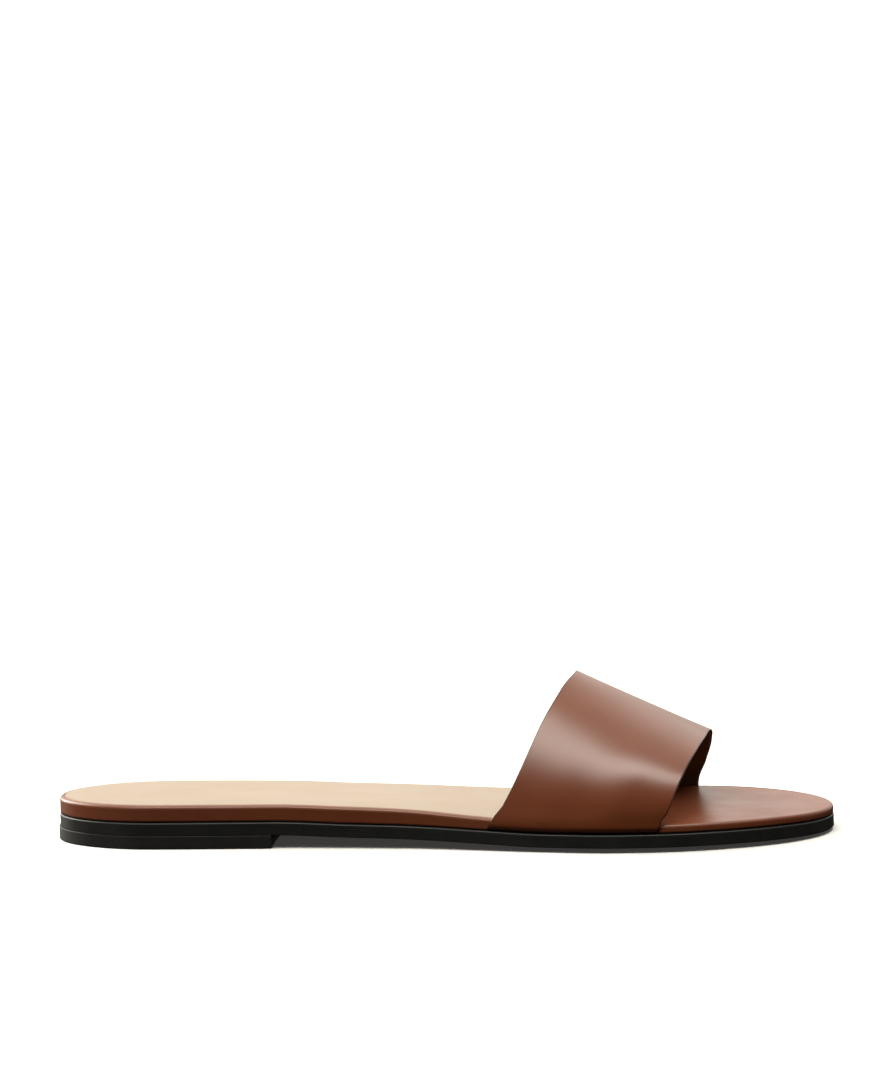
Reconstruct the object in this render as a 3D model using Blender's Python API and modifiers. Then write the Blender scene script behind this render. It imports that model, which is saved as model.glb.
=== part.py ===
"""Slide sandal for the right foot: five separate pieces at real size.

Metres, +Z up, toe towards +X, outer side of the foot towards -Y.
The origin lies on the floor, under the middle of the sole.
"""

import math

import bmesh
import bpy

# Lengths and widths of the sole
SHOE_LENGTH = 0.250
HEEL_WIDTH = 0.0568
WAIST_WIDTH = 0.0533
BALL_WIDTH = 0.0828
HEEL_ROUND = 0.036
TOE_ROUND = 0.058
TOE_SWING = 0.0043

# Heights and thicknesses from the floor up
HEEL_LIFT = 0.0040
HEEL_LENGTH = 0.073
BREAST_HOLLOW = 0.0008
OUTSOLE = 0.0041
CAMBER = 0.0016
CAMBER_FLAT = 0.40
TOE_SPRING = 0.0012
FOOTBED_HEEL = 0.0045
FOOTBED_TOE = 0.0026
SOCK = 0.0008
SOCK_LENGTH = 0.180

# Edges of the sole's layers, seen from above
FOOTBED_STEP = 0.0009
FOOTBED_ROUND = 0.0013
SOCK_INSET = 0.0014
SOCK_ROUND = 0.0003
OUTSOLE_ROUND = 0.0005
LIFT_ROUND = 0.0004
LIFT_STEP = 0.0001

# The strap, a band of leather and lining that is lasted in under the footbed
STRAP_WALL = 0.0017
STRAP_RISE = 0.0457
STRAP_FRONT_RISE = 0.0250
STRAP_STEP = 0.0001
STRAP_BEND_INSIDE = 0.0005
STRAP_FOOT_LEAN = 0.0012
FLANGE = 0.0080
FLANGE_SKIVE = 0.5

# Room between pieces that meet
CLEARANCE = 0.0003

# How finely the round shapes are divided
SOLE_STATIONS = 36
ACROSS = (-0.5 - 0.5 * CAMBER_FLAT, -CAMBER_FLAT, CAMBER_FLAT, 0.5 + 0.5 * CAMBER_FLAT)
ROUND_STEPS = 3
ARCH_STEPS = 26
BAND_STEPS = 9
FLANGE_STEPS = 2
BEND_STEPS = 4
AXIS_STEPS = 200
SLOPE_STEP = 1e-4
WELD = 1e-6
SHARP_ANGLE = math.radians(35.0)

# Plan of the sole. at is a share of SHOE_LENGTH from the back of the heel. heel and ball
# are the shares by which the width grows from WAIST_WIDTH towards HEEL_WIDTH and
# BALL_WIDTH, and swing is the share of TOE_SWING that the middle line moves inwards.
PLAN = (
    {"at": 0.00, "heel": 1.00, "ball": 0.00, "swing": 0.00},
    {"at": 0.12, "heel": 1.00, "ball": 0.00, "swing": 0.00},
    {"at": 0.21, "heel": 0.92, "ball": 0.00, "swing": 0.00},
    {"at": 0.29, "heel": 0.45, "ball": 0.00, "swing": -0.12},
    {"at": 0.36, "heel": 0.00, "ball": 0.02, "swing": -0.30},
    {"at": 0.46, "heel": 0.00, "ball": 0.09, "swing": -0.45},
    {"at": 0.55, "heel": 0.00, "ball": 0.35, "swing": -0.45},
    {"at": 0.65, "heel": 0.00, "ball": 0.74, "swing": -0.25},
    {"at": 0.73, "heel": 0.00, "ball": 0.97, "swing": 0.05},
    {"at": 0.80, "heel": 0.00, "ball": 1.00, "swing": 0.45},
    {"at": 0.90, "heel": 0.00, "ball": 1.00, "swing": 0.90},
    {"at": 1.00, "heel": 0.00, "ball": 1.00, "swing": 1.00},
)

# Side view of the sole. at runs from -1 at the back of the heel through 0 at the heel's
# breast to 1 at the toe. seat is the share of the heel's height under the outsole,
# camber the share of CAMBER that its edges stand above its middle, spring the share of
# TOE_SPRING, and bed goes from FOOTBED_TOE at 0 to FOOTBED_HEEL at 1.
PROFILE = (
    {"at": -1.00, "seat": 1.00, "camber": 0.00, "spring": 0.00, "bed": 1.00},
    {"at": 0.00, "seat": 1.00, "camber": 0.00, "spring": 0.00, "bed": 0.90},
    {"at": 0.12, "seat": 0.77, "camber": 0.20, "spring": 0.00, "bed": 0.92},
    {"at": 0.24, "seat": 0.45, "camber": 0.75, "spring": 0.00, "bed": 0.75},
    {"at": 0.38, "seat": 0.15, "camber": 1.00, "spring": 0.00, "bed": 0.25},
    {"at": 0.50, "seat": 0.00, "camber": 1.00, "spring": 0.00, "bed": 0.00},
    {"at": 0.67, "seat": 0.00, "camber": 1.00, "spring": 0.00, "bed": 0.00},
    {"at": 0.79, "seat": 0.00, "camber": 0.85, "spring": 0.20, "bed": 0.00},
    {"at": 0.90, "seat": 0.00, "camber": 0.50, "spring": 0.60, "bed": 0.00},
    {"at": 1.00, "seat": 0.00, "camber": 0.00, "spring": 1.00, "bed": 0.00},
)

# The strap's two cut edges, as shares of SHOE_LENGTH. at goes over the arch from 0 where it
# starts on the outer side to 1 where it ends on the inner side.
STRAP_EDGES = (
    {"at": 0.00, "back": 0.5740, "front": 0.7870},
    {"at": 0.04, "back": 0.5895, "front": 0.7965},
    {"at": 0.12, "back": 0.6112, "front": 0.8061},
    {"at": 0.24, "back": 0.6362, "front": 0.8192},
    {"at": 0.36, "back": 0.6580, "front": 0.8313},
    {"at": 0.50, "back": 0.6730, "front": 0.8408},
    {"at": 0.64, "back": 0.6670, "front": 0.8445},
    {"at": 0.78, "back": 0.6500, "front": 0.8415},
    {"at": 0.90, "back": 0.6265, "front": 0.8330},
    {"at": 1.00, "back": 0.5970, "front": 0.8222},
)

# The top of the arch stands CREST_SHIFT to the inner side of the sole's middle. Seen from
# the toe the arch is half an ellipse at a power of 1, and squarer below it: ARCH_POWER is
# for the strap's back edge and ARCH_FRONT_POWER for its front edge.
CREST_SHIFT = 0.0055
ARCH_POWER = 0.95
ARCH_FRONT_POWER = 0.80


def clear_scene():
    """Remove whatever the scene holds."""
    for old in list(bpy.data.objects):
        bpy.data.objects.remove(old, do_unlink=True)


def mix(low, high, share):
    """Go from low to high by a share."""
    return low + (high - low) * share


def smooth(table, column, at):
    """Read a column between its rows, on a curve that never overshoots them."""
    places = [row["at"] for row in table]
    values = [row[column] for row in table]
    at = min(max(at, places[0]), places[-1])
    slopes = [(values[i + 1] - values[i]) / (places[i + 1] - places[i])
              for i in range(len(table) - 1)]
    tangents = [0.0]
    for before, after in zip(slopes, slopes[1:]):
        meets = before * after > 0.0
        tangents.append(2.0 * before * after / (before + after) if meets else 0.0)
    tangents.append(0.0)
    i = max(k for k in range(len(table) - 1) if places[k] <= at)
    span = places[i + 1] - places[i]
    t = (at - places[i]) / span
    return ((1 + 2 * t) * (1 - t) ** 2 * values[i]
            + t * (1 - t) ** 2 * span * tangents[i]
            + t * t * (3 - 2 * t) * values[i + 1]
            + t * t * (t - 1) * span * tangents[i + 1])


def share_at(x):
    """Turn a place along X into a share of the sole's length."""
    return x / SHOE_LENGTH + 0.5


def x_at(share):
    """Turn a share of the sole's length into a place along X."""
    return (share - 0.5) * SHOE_LENGTH


def profile(column, x):
    """Read a column of the side view at a place along X."""
    breast = HEEL_LENGTH / SHOE_LENGTH
    past = share_at(x) - breast
    return smooth(PROFILE, column, past / (1.0 - breast) if past > 0.0 else past / breast)


def end_rounding(share):
    """Narrow the width to nothing along a quarter ellipse at each end."""
    from_heel = min(share * SHOE_LENGTH / HEEL_ROUND, 1.0)
    from_toe = min((1.0 - share) * SHOE_LENGTH / TOE_ROUND, 1.0)
    heel = math.sqrt(max(1.0 - (1.0 - from_heel) ** 2, 0.0))
    toe = math.sqrt(max(1.0 - (1.0 - from_toe) ** 2, 0.0))
    return heel * toe


def edge_from_axis(share, side):
    """Distance of the outsole's edge from the heel's long axis, inner side positive."""
    width = (WAIST_WIDTH
             + smooth(PLAN, "heel", share) * (HEEL_WIDTH - WAIST_WIDTH)
             + smooth(PLAN, "ball", share) * (BALL_WIDTH - WAIST_WIDTH))
    middle = smooth(PLAN, "swing", share) * TOE_SWING
    return middle + side * 0.5 * width * end_rounding(share)


def axis_offset():
    """Distance of the heel's long axis from the middle of the sole's widest reach."""
    shares = [i / AXIS_STEPS for i in range(AXIS_STEPS + 1)]
    inner = max(edge_from_axis(share, 1.0) for share in shares)
    outer = min(edge_from_axis(share, -1.0) for share in shares)
    return -0.5 * (inner + outer)


AXIS_Y = axis_offset()


def sole_edge(share, side):
    """Y of the outsole's edge: side is -1 on the outer and 1 on the inner side."""
    return edge_from_axis(share, side) + AXIS_Y


def outsole_low(x, across):
    """Underside of the outsole, flat in the middle and raised towards its edges."""
    rounding = max(abs(across) - CAMBER_FLAT, 0.0) / (1.0 - CAMBER_FLAT)
    return (profile("seat", x) * (HEEL_LIFT + CLEARANCE)
            + profile("spring", x) * TOE_SPRING
            + profile("camber", x) * CAMBER * rounding ** 2)


def outsole_high(x, across):
    """Top of the outsole, level from side to side."""
    return outsole_low(x, 1.0) + OUTSOLE


def footbed_low(x, across):
    """Underside of the footbed."""
    return outsole_high(x, across) + CLEARANCE


def footbed_high(x, across):
    """Top of the footbed."""
    return footbed_low(x, across) + mix(FOOTBED_TOE, FOOTBED_HEEL, profile("bed", x))


def sock_low(x, across):
    """Underside of the sock liner."""
    return footbed_high(x, across) + CLEARANCE


def sock_high(x, across):
    """Top of the sock liner."""
    return sock_low(x, across) + SOCK


def floor_level(x, across):
    """The floor."""
    return 0.0


def lift_high(x, across):
    """Top of the heel lift."""
    return HEEL_LIFT


def stations(end):
    """Shares of the length where the plan is measured, closer together at round ends."""
    turn = math.pi if end >= 1.0 else math.pi * 0.5
    top = 2.0 if end >= 1.0 else 1.0
    return [end * (1.0 - math.cos(turn * i / SOLE_STATIONS)) / top
            for i in range(SOLE_STATIONS + 1)]


def plan_rows(end, inset):
    """Rows of (x, y, across) over the plan, up to a share of its length, moved in by inset.

    across runs from -1 at the outer edge to 1 at the inner edge, and is 1 at a round tip.
    """
    rows = []
    for share in stations(end):
        tip = share <= 0.0 or share >= 1.0
        rims = [rim_point(share, side, inset) for side in (-1.0, 1.0)]
        if end < 1.0:
            rims = [(min(x, x_at(end) - inset), y) for x, y in rims]
        rows.append([(mix(rims[0][0], rims[1][0], 0.5 + 0.5 * across),
                      mix(rims[0][1], rims[1][1], 0.5 + 0.5 * across),
                      1.0 if tip else across)
                     for across in (-1.0, *ACROSS, 1.0)])
    return rows


def rim_point(share, side, inset):
    """A point of the plan's edge, moved inwards at right angles to it."""
    if share <= 0.0 or share >= 1.0:
        inwards = inset if share <= 0.0 else -inset
        return x_at(share) + inwards, sole_edge(share, side)
    before = max(share - SLOPE_STEP, 0.0)
    after = min(share + SLOPE_STEP, 1.0)
    run = (after - before) * SHOE_LENGTH
    rise = sole_edge(after, side) - sole_edge(before, side)
    size = math.hypot(run, rise)
    return (x_at(share) + inset * side * rise / size,
            sole_edge(share, side) - inset * side * run / size)


def turned_edge(inset, radius, height, below):
    """Rings (inset, height, offset) that round the lower or the upper edge of a plate."""
    turns = [0.5 * math.pi * i / ROUND_STEPS for i in range(ROUND_STEPS + 1)]
    if below:
        return [(inset + radius * (1.0 - math.sin(turn)), height,
                 radius * (1.0 - math.cos(turn))) for turn in turns]
    return [(inset + radius * (1.0 - math.cos(turn)), height,
             -radius * (1.0 - math.sin(turn))) for turn in turns]


def plate(name, rings, end=1.0, hollow=0.0):
    """A closed solid from rings of the plan, with rows across its underside and its top.

    hollow bows a straight front end backwards in its middle.
    """
    mesh = bmesh.new()
    grids = []
    for inset, height, offset in rings:
        grid = [[mesh.verts.new((x, y, height(x, across) + offset)) for x, y, across in row]
                for row in plan_rows(end, inset)]
        for vert, across in zip(grid[-1], (-1.0, *ACROSS, 1.0)):
            vert.co.x -= hollow * (1.0 - across ** 2)
        grids.append(grid)
    for lower, upper in zip(grids, grids[1:]):
        below = rim_of(lower)
        above = rim_of(upper)
        for i in range(len(below)):
            mesh.faces.new((below[i - 1], below[i], above[i], above[i - 1]))
    for grid in (grids[0], grids[-1]):
        fill_grid(mesh, grid)
    return mesh_object(name, mesh)


def rim_of(grid):
    """The vertices round the outside of a grid, in order."""
    outer = [row[0] for row in grid]
    inner = [row[-1] for row in grid]
    return outer + grid[-1][1:-1] + inner[::-1] + grid[0][-2:0:-1]


def fill_grid(mesh, grid):
    """Faces between the rows of a grid of vertices."""
    for row, following in zip(grid, grid[1:]):
        for i in range(len(row) - 1):
            mesh.faces.new((row[i], following[i], following[i + 1], row[i + 1]))


def mesh_object(name, mesh):
    """Weld a mesh, turn its faces outwards and make an object of it."""
    bmesh.ops.remove_doubles(mesh, verts=mesh.verts[:], dist=WELD)
    loose = [vert for vert in mesh.verts if not vert.link_faces]
    bmesh.ops.delete(mesh, geom=loose, context="VERTS")
    bmesh.ops.recalc_face_normals(mesh, faces=mesh.faces[:])
    data = bpy.data.meshes.new(name)
    mesh.to_mesh(data)
    mesh.free()
    data.shade_smooth()
    data.set_sharp_from_angle(angle=SHARP_ANGLE)
    return bpy.data.objects.new(name, data)


def strap_foot(x, side, grow):
    """A foot of the strap from the end of its flange up to where the arch starts at x.

    It leans forward by STRAP_FOOT_LEAN as it rises through its bend.
    """
    bend = STRAP_WALL + STRAP_BEND_INSIDE + grow
    path = [(mix(FLANGE + 2.0 * grow, bend, i / FLANGE_STEPS), 0.0, 1.0)
            for i in range(FLANGE_STEPS)]
    for i in range(BEND_STEPS + 1):
        turn = 0.5 * math.pi * i / BEND_STEPS
        path.append((bend * (1.0 - math.sin(turn)), bend * (1.0 - math.cos(turn)),
                     math.cos(turn)))
    points = []
    for inset, rise, lean in path:
        place = x - lean * STRAP_FOOT_LEAN
        edge = sole_edge(share_at(place), side) - side * (STRAP_STEP - grow)
        level = outsole_high(place, side) + CLEARANCE - grow
        points.append((place, edge - side * inset, level + rise))
    return points


def strap_edge(name, at, grow):
    """Place along X of one cut edge of the strap, moved outwards by grow."""
    return x_at(smooth(STRAP_EDGES, name, at)) + (grow if name == "front" else -grow)


def strap_row(band, grow):
    """One row over the strap's outer face, from flange to flange, band going back to front."""
    reach = [mix(strap_edge("back", i / ARCH_STEPS, grow),
                 strap_edge("front", i / ARCH_STEPS, grow), band)
             for i in range(ARCH_STEPS + 1)]
    outer = strap_foot(reach[0], -1.0, grow)
    inner = strap_foot(reach[-1], 1.0, grow)
    top_y = AXIS_Y + CREST_SHIFT
    top_z = (outsole_high(reach[ARCH_STEPS // 2], 0.0) + CLEARANCE
             + mix(STRAP_RISE, STRAP_FRONT_RISE, band) + grow)
    power = mix(ARCH_POWER, ARCH_FRONT_POWER, band)
    arch = []
    for i in range(1, ARCH_STEPS):
        turn = math.pi * i / ARCH_STEPS
        base = outer[-1] if math.cos(turn) > 0.0 else inner[-1]
        climb = math.sin(turn) ** power
        spread = abs(math.cos(turn)) ** power
        arch.append((reach[i], mix(top_y, base[1], spread), mix(base[2], top_z, climb)))
    return outer + arch + inner[::-1]


def strap_sheet(name, grow):
    """The strap's outer face with a wall behind it, thinner along both flanges.

    grow makes it larger on every side, as the room that the strap needs.
    """
    mesh = bmesh.new()
    grid = [[mesh.verts.new(point) for point in strap_row(i / BAND_STEPS, grow)]
            for i in range(BAND_STEPS + 1)]
    fill_grid(mesh, grid)
    count = len(grid[0])
    sheet = mesh_object(name, mesh)
    wall = STRAP_WALL + 2.0 * grow
    full = sheet.vertex_groups.new(name="full_wall")
    for i in range(count * (BAND_STEPS + 1)):
        from_end = min(i % count, count - 1 - i % count)
        weight = min(max((from_end - FLANGE_STEPS) / BEND_STEPS, 0.0), 1.0)
        full.add([i], weight, "REPLACE")
    solidify = sheet.modifiers.new("Wall", "SOLIDIFY")
    solidify.thickness = wall
    solidify.offset = -1.0
    solidify.use_even_offset = True
    solidify.use_quality_normals = True
    solidify.vertex_group = full.name
    solidify.thickness_vertex_group = (FLANGE_SKIVE * STRAP_WALL + 2.0 * grow) / wall
    return sheet


def make_outsole():
    """The black outsole, one plate under the whole shoe."""
    rings = (turned_edge(0.0, OUTSOLE_ROUND, outsole_low, True)
             + turned_edge(0.0, OUTSOLE_ROUND, outsole_high, False))
    return plate("outsole", rings)


def make_heel_lift():
    """The low heel under the outsole, straight down on three sides."""
    rings = (turned_edge(LIFT_STEP, LIFT_ROUND, floor_level, True)
             + turned_edge(LIFT_STEP, LIFT_ROUND, lift_high, False))
    return plate("heel_lift", rings, HEEL_LENGTH / SHOE_LENGTH, BREAST_HOLLOW)


def make_footbed(strap_room):
    """The leather-covered footbed, cut where the strap's feet go in beside and under it."""
    radius = min(FOOTBED_ROUND, 0.5 * FOOTBED_TOE)
    rings = (turned_edge(FOOTBED_STEP, 0.5 * radius, footbed_low, True)
             + turned_edge(FOOTBED_STEP, radius, footbed_high, False))
    return cut_for_strap(plate("footbed", rings), strap_room)


def cut_for_strap(piece, strap_room):
    """Take the room that the strap needs out of a piece."""
    cut = piece.modifiers.new("Room for the strap", "BOOLEAN")
    cut.operation = "DIFFERENCE"
    cut.solver = "EXACT"
    cut.object = strap_room
    return piece


def make_sock_liner(strap_room):
    """The thin liner from the heel to under the strap, trimmed beside the strap's feet."""
    inset = FOOTBED_STEP + SOCK_INSET
    radius = min(SOCK_ROUND, 0.4 * SOCK)
    rings = (turned_edge(inset, radius, sock_low, True)
             + turned_edge(inset, radius, sock_high, False))
    return cut_for_strap(plate("sock_liner", rings, SOCK_LENGTH / SHOE_LENGTH), strap_room)


def material(name, colour, roughness):
    """A plain material from a linear colour."""
    made = bpy.data.materials.new(name)
    made.use_nodes = True
    shader = made.node_tree.nodes["Principled BSDF"]
    shader.inputs["Base Color"].default_value = (*colour, 1.0)
    shader.inputs["Roughness"].default_value = roughness
    shader.inputs["Metallic"].default_value = 0.0
    return made


def main():
    """Build the sandal in its own collection, and the cutter in another."""
    clear_scene()
    sandal = bpy.data.collections.new("slide_sandal")
    cutters = bpy.data.collections.new("cutters")
    bpy.context.scene.collection.children.link(sandal)
    bpy.context.scene.collection.children.link(cutters)

    strap_room = strap_sheet("strap_room", CLEARANCE)
    strap_room.hide_render = True
    strap_room.display_type = "WIRE"
    cutters.objects.link(strap_room)

    brown = (0.130, 0.046, 0.024)
    black = (0.010, 0.010, 0.010)
    beige = (0.690, 0.520, 0.370)
    pieces = (
        (make_outsole(), material("Black sole leather", black, 0.45)),
        (make_heel_lift(), material("Black heel leather", black, 0.50)),
        (make_footbed(strap_room), material("Brown footbed leather", brown, 0.40)),
        (make_sock_liner(strap_room), material("Beige lining leather", beige, 0.60)),
        (strap_sheet("strap", 0.0), material("Brown strap leather", brown, 0.35)),
    )
    for piece, finish in pieces:
        piece.data.materials.append(finish)
        sandal.objects.link(piece)


main()
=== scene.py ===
"""Slide sandal for the right foot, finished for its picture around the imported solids.

Metres, +Z up, toe towards +X, outer side of the foot towards -Y.
The origin lies on the floor, under the middle of the sole.
"""

import math

import bmesh
import bpy
from mathutils import Matrix, Vector, noise


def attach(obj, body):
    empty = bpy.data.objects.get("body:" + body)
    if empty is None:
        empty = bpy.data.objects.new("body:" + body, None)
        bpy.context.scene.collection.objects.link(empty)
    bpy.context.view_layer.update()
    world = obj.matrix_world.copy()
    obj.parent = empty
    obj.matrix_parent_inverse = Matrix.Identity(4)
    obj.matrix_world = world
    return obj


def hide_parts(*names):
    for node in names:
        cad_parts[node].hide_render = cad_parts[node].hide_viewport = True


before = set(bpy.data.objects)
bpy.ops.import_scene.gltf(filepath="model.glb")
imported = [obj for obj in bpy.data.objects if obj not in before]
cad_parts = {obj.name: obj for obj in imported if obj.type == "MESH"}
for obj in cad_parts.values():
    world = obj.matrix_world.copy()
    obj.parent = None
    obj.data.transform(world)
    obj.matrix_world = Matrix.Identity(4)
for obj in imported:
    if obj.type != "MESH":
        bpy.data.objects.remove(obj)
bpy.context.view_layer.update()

# Lengths and widths of the sole, as in the solids
SHOE_LENGTH = 0.250
HEEL_WIDTH = 0.0568
WAIST_WIDTH = 0.0533
BALL_WIDTH = 0.0828
HEEL_ROUND = 0.036
TOE_ROUND = 0.058
TOE_SWING = 0.0043

# Heights and thicknesses from the floor up, as in the solids
HEEL_LIFT = 0.0040
HEEL_LENGTH = 0.073
BREAST_HOLLOW = 0.0008
OUTSOLE = 0.0041
CAMBER = 0.0016
CAMBER_FLAT = 0.40
TOE_SPRING = 0.0012
FOOTBED_HEEL = 0.0045
FOOTBED_TOE = 0.0026
SOCK = 0.0008
SOCK_LENGTH = 0.180
CLEARANCE = 0.0003

# The strap, as in the solids
STRAP_WALL = 0.0017
STRAP_RISE = 0.0457
STRAP_FRONT_RISE = 0.0250
STRAP_STEP = 0.0001
STRAP_BEND_INSIDE = 0.0005
STRAP_FOOT_LEAN = 0.0012
FLANGE = 0.0080
FLANGE_SKIVE = 0.5
CREST_SHIFT = 0.0055
ARCH_POWER = 0.95
ARCH_FRONT_POWER = 0.80

# The footbed's side stands in from the outsole's edge by FOOTBED_STEP, and by less over a
# share of the length at the heel and at the toe. Its rim is raised round the sock liner and
# comes down under the strap, between two shares of the length. RIM_SEAM bevels the rim's
# inner corner, where the liner begins.
FOOTBED_STEP = 0.0009
FOOTBED_STEP_AT_ENDS = 0.0001
FOOTBED_STEP_RUN = 0.14
FOOTBED_TOE_RUN = 0.08
FOOTBED_ROUND = 0.0011
FOOTBED_UNDER_ROUND = 0.0005
RIM_RAISE = 0.0007
RIM_ENDS_FROM = 0.60
RIM_ENDS_AT = 0.70
RIM_SEAM = 0.0001

# The sock liner settles towards its edge, its underside by a share of what its top does
SOCK_INSET = 0.0014
SOCK_ROUND = 0.0003
SOCK_SETTLE = 0.0003
SOCK_SETTLE_BELOW = 0.6
SOCK_SETTLE_WIDTH = 0.0060

# Edges of the outsole and the heel lift. The lift spreads by LIFT_FLARE at the back of the
# heel, and LIFT_SEAM is the gap above it.
OUTSOLE_BEVEL = 0.0004
OUTSOLE_ROUND = 0.00015
LIFT_FLARE = 0.0004
LIFT_FLARE_RUN = 0.06
LIFT_ROUND = 0.0004
LIFT_TOP_ROUND = 0.00015
LIFT_SEAM = 0.00006

# How far a plate's side is held flat beside a rounded edge, and how strongly the edge colour
# shows on the two rims of a marked edge, where it stands for wear and for painted highlights
# and painted shade
WALL_SUPPORT = 0.0003
RIM_WEAR_AND_PAINTED_LIGHT = 0.4

# Finished edges of the strap: a leather face and a lining, each with marked cut edges that
# take its edge colour, painted shade on the face and a lighter colour on the lining
LEATHER = 0.00095
LAYER_GAP = 0.00005
LINING_SET_BACK = 0.00025
EDGE_ROUND = 0.00028
LEATHER_WAVE = 0.00005
LEATHER_WAVE_LENGTH = 0.013

# Textures. Pores and slow waves are counted per pebble of the grain. Each range is the part
# of a noise's values over which its effect goes from none to full.
PORES_PER_PEBBLE = 2.7
WAVES_PER_PEBBLE = 0.06
TONE_RANGE = (0.3, 0.7)
CLOUD_RANGE = (0.25, 0.75)
BREAK_RANGE = (0.3, 0.6)
LEAST_WEAR_AND_PAINTED_LIGHT = 0.6

# How finely the round shapes are divided. EDGE_STEP is the share of the strap's width from
# a cut edge to the next row.
SOLE_STATIONS = 130
ACROSS_STEPS = 20
ROUND_STEPS = 5
SETTLE_STEPS = 6
ARCH_STEPS = 132
BAND_STEPS = 40
FLANGE_STEPS = 4
BEND_STEPS = 8
AXIS_STEPS = 200
SLOPE_STEP = 1e-4
EDGE_STEP = 0.012
WELD = 1e-6
SHARP_ANGLE = math.radians(40.0)
ACROSS = tuple(-1.0 + 2.0 * i / ACROSS_STEPS for i in range(1, ACROSS_STEPS))

# The photograph's frame, in pixels, and where it was taken from
FRAME_WIDTH = 895
FRAME_HEIGHT = 1076
SENSOR = 36.0
VIEW_AZIMUTH = math.radians(6.24)
VIEW_ELEVATION = math.radians(9.46)
VIEW_ROLL = math.radians(1.39)
VIEW_DISTANCE = 1.20
PIXELS_PER_METRE = 3091.0
ORIGIN_PIXEL = (444.4, 832.6)

# Plan of the sole. at is a share of SHOE_LENGTH from the back of the heel. heel and ball
# are the shares by which the width grows from WAIST_WIDTH towards HEEL_WIDTH and
# BALL_WIDTH, and swing is the share of TOE_SWING that the middle line moves inwards.
PLAN = (
    {"at": 0.00, "heel": 1.00, "ball": 0.00, "swing": 0.00},
    {"at": 0.12, "heel": 1.00, "ball": 0.00, "swing": 0.00},
    {"at": 0.21, "heel": 0.92, "ball": 0.00, "swing": 0.00},
    {"at": 0.29, "heel": 0.45, "ball": 0.00, "swing": -0.12},
    {"at": 0.36, "heel": 0.00, "ball": 0.02, "swing": -0.30},
    {"at": 0.46, "heel": 0.00, "ball": 0.09, "swing": -0.45},
    {"at": 0.55, "heel": 0.00, "ball": 0.35, "swing": -0.45},
    {"at": 0.65, "heel": 0.00, "ball": 0.74, "swing": -0.25},
    {"at": 0.73, "heel": 0.00, "ball": 0.97, "swing": 0.05},
    {"at": 0.80, "heel": 0.00, "ball": 1.00, "swing": 0.45},
    {"at": 0.90, "heel": 0.00, "ball": 1.00, "swing": 0.90},
    {"at": 1.00, "heel": 0.00, "ball": 1.00, "swing": 1.00},
)

# Side view of the sole. at runs from -1 at the back of the heel through 0 at the heel's
# breast to 1 at the toe. seat is the share of the heel's height under the outsole,
# camber the share of CAMBER that its edges stand above its middle, spring the share of
# TOE_SPRING, and bed goes from FOOTBED_TOE at 0 to FOOTBED_HEEL at 1.
PROFILE = (
    {"at": -1.00, "seat": 1.00, "camber": 0.00, "spring": 0.00, "bed": 1.00},
    {"at": 0.00, "seat": 1.00, "camber": 0.00, "spring": 0.00, "bed": 0.90},
    {"at": 0.12, "seat": 0.77, "camber": 0.20, "spring": 0.00, "bed": 0.92},
    {"at": 0.24, "seat": 0.45, "camber": 0.75, "spring": 0.00, "bed": 0.75},
    {"at": 0.38, "seat": 0.15, "camber": 1.00, "spring": 0.00, "bed": 0.25},
    {"at": 0.50, "seat": 0.00, "camber": 1.00, "spring": 0.00, "bed": 0.00},
    {"at": 0.67, "seat": 0.00, "camber": 1.00, "spring": 0.00, "bed": 0.00},
    {"at": 0.79, "seat": 0.00, "camber": 0.85, "spring": 0.20, "bed": 0.00},
    {"at": 0.90, "seat": 0.00, "camber": 0.50, "spring": 0.60, "bed": 0.00},
    {"at": 1.00, "seat": 0.00, "camber": 0.00, "spring": 1.00, "bed": 0.00},
)

# The strap's two cut edges, as shares of SHOE_LENGTH. at goes over the arch from 0 where it
# starts on the outer side to 1 where it ends on the inner side.
STRAP_EDGES = (
    {"at": 0.00, "back": 0.5740, "front": 0.7870},
    {"at": 0.04, "back": 0.5895, "front": 0.7965},
    {"at": 0.12, "back": 0.6112, "front": 0.8061},
    {"at": 0.24, "back": 0.6362, "front": 0.8192},
    {"at": 0.36, "back": 0.6580, "front": 0.8313},
    {"at": 0.50, "back": 0.6730, "front": 0.8408},
    {"at": 0.64, "back": 0.6670, "front": 0.8445},
    {"at": 0.78, "back": 0.6500, "front": 0.8415},
    {"at": 0.90, "back": 0.6265, "front": 0.8330},
    {"at": 1.00, "back": 0.5970, "front": 0.8222},
)

# Light of the studio dome. round is the angle from the front over the top, in degrees, and
# glow how bright the dome is there.
DOME = (
    {"round": 0.0, "glow": 0.05},
    {"round": 50.0, "glow": 0.09},
    {"round": 88.0, "glow": 0.60},
    {"round": 110.0, "glow": 1.22},
    {"round": 130.0, "glow": 1.50},
    {"round": 150.0, "glow": 1.60},
    {"round": 166.0, "glow": 1.20},
    {"round": 180.0, "glow": 0.85},
)

# The softbox hangs in front, over the strap: from and to are places round the dome, left and
# right are degrees to either side, and it tilts as it goes to the right. The heel light
# stands past the heel, from and to being degrees sideways, and has its full glow above
# high_to round the dome. Sideways past the toe the dome fades to a share of its glow.
SOFTBOX = {"from": 59.5, "to": 80.0, "edge": 3.5, "tilt": 0.56, "left": -28.0, "right": 25.0,
           "side_edge": 12.0, "glow": 8.6}
HEEL_LIGHT = {"from": 38.0, "to": 62.0, "edge": 8.0, "low": 0.12, "high": 8.5,
              "high_from": 80.0, "high_to": 100.0}
TOE_SHADE = {"from": 15.0, "to": 50.0, "left_over": 0.25}

# The rest of the studio. HORIZON is how softly the dome ends at the floor's level, and
# UNDER_GLOW is what is left below it.
UNDER_GLOW = 0.01
LIGHT_TINT = (1.0, 0.97, 0.88, 1.0)
HORIZON = 0.01
BACKDROP_GLOW = 1.1
FLOOR_HALF = 40.0
FLOOR_COLOUR = (0.90, 0.90, 0.895, 1.0)
FLOOR_GLOW = 0.04
FLOOR_GLOW_COLOUR = (1.0, 0.95, 0.92, 1.0)


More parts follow.
